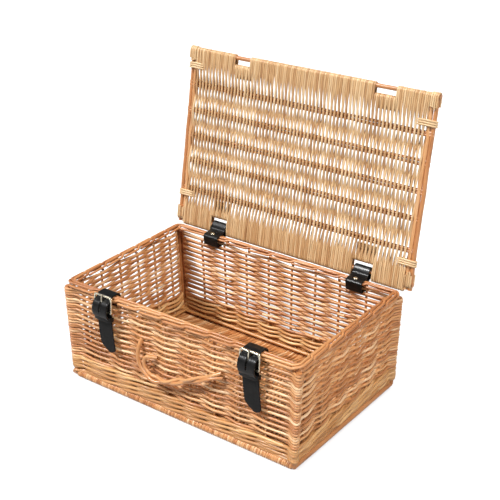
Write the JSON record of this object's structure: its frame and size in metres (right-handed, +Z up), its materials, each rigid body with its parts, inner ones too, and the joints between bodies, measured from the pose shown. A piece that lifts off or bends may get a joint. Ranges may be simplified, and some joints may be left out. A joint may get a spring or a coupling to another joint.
{
  "type": "lidded wicker basket",
  "caption": "Rectangular woven willow hamper with a hinged woven lid, leather hinge loops, buckled front straps and a twisted bow handle.",
  "frame": {"origin": "centre of the underside, on the surface the basket stands on", "axes": "+X along the length, -Y towards the front with the buckles, +Z up"},
  "size_m": [0.4786, 0.3669, 0.4831],
  "materials": {
    "peeled_willow": "satin",
    "lid_willow": "satin",
    "thick_willow": "satin",
    "black_leather": "semi-gloss",
    "pale_brass": "polished"
  },
  "bodies": {
    "basket": {"base_weave": "peeled_willow", "base_sticks": "thick_willow", "base_end_rods": "thick_willow", "bottom_waling": "peeled_willow", "front_weave": "peeled_willow", "back_weave": "peeled_willow", "left_weave": "peeled_willow", "right_weave": "peeled_willow", "front_stakes": "thick_willow", "back_stakes": "thick_willow", "left_stakes": "thick_willow", "right_stakes": "thick_willow", "corner_posts": "thick_willow", "rim_border": "peeled_willow", "left_hinge_loop": "black_leather", "left_hinge_rivet": "pale_brass", "left_strap_band": "black_leather", "left_strap_keeper": "black_leather", "left_buckle_frame": "pale_brass", "right_hinge_loop": "black_leather", "right_hinge_rivet": "pale_brass", "right_strap_band": "black_leather", "right_strap_keeper": "black_leather", "right_buckle_frame": "pale_brass"},
    "lid": {"lid_weave": "lid_willow", "lid_hinge_stick": "thick_willow", "lid_front_stick": "thick_willow", "lid_cross_sticks": "thick_willow", "lid_side_rods": "thick_willow", "lid_corner_bindings": "lid_willow"},
    "handle": {"handle_outer_rod": "peeled_willow", "handle_inner_rod": "peeled_willow"},
    "left_strap_end": {"left_strap_tail": "black_leather"},
    "left_prong": {"left_buckle_prong": "pale_brass"},
    "right_strap_end": {"right_strap_tail": "black_leather"},
    "right_prong": {"right_buckle_prong": "pale_brass"}
  },
  "joints": [
    {"name": "lid_hinge", "type": "hinge", "parent": "basket", "child": "lid", "pos_m": [0, 0.156, 0.1852], "axis": [1, 0, 0], "range_deg": [0, 99.5]},
    {"name": "handle_swing", "type": "hinge", "parent": "basket", "child": "handle", "pos_m": [0.013, -0.145, 0.119], "axis": [-1, 0, 0], "range_deg": [0, 115]},
    {"name": "left_strap_lift", "type": "hinge", "parent": "basket", "child": "left_strap_end", "pos_m": [-0.138, -0.1465, 0.1314], "axis": [-1, 0, 0], "range_deg": [0, 85]},
    {"name": "left_prong_swing", "type": "hinge", "parent": "basket", "child": "left_prong", "pos_m": [-0.138, -0.1496, 0.152], "axis": [1, 0, 0], "range_deg": [0, 85]},
    {"name": "right_strap_lift", "type": "hinge", "parent": "basket", "child": "right_strap_end", "pos_m": [0.147, -0.1465, 0.1314], "axis": [-1, 0, 0], "range_deg": [0, 85]},
    {"name": "right_prong_swing", "type": "hinge", "parent": "basket", "child": "right_prong", "pos_m": [0.147, -0.1496, 0.152], "axis": [1, 0, 0], "range_deg": [0, 85]}
  ]
}
